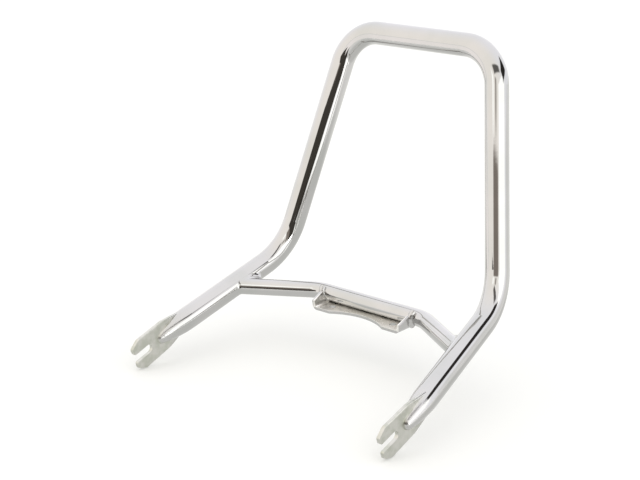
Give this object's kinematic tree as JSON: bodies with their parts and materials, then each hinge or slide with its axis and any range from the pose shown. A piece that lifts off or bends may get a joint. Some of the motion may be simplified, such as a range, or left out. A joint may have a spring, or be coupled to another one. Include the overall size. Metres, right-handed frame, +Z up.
{
  "type": "motorcycle grab bar",
  "caption": "Chromed bent-tube grab bar: an upright hoop on splayed legs with slotted ends, joined by a bent crossbar that carries a folded mounting bracket.",
  "frame": {"origin": "midway between the two seated frame bolts, on their common axis", "axes": "+X along the frame bolts towards the right-hand leg, +Y towards the rear, away from the slotted ends, +Z up"},
  "size_m": [0.3146, 0.257, 0.3068],
  "materials": {
    "chrome": "polished"
  },
  "bodies": {
    "root": {"hoop_tube": "chrome", "crossbar": "chrome", "bracket": "chrome", "welds": "chrome"}
  },
  "joints": []
}
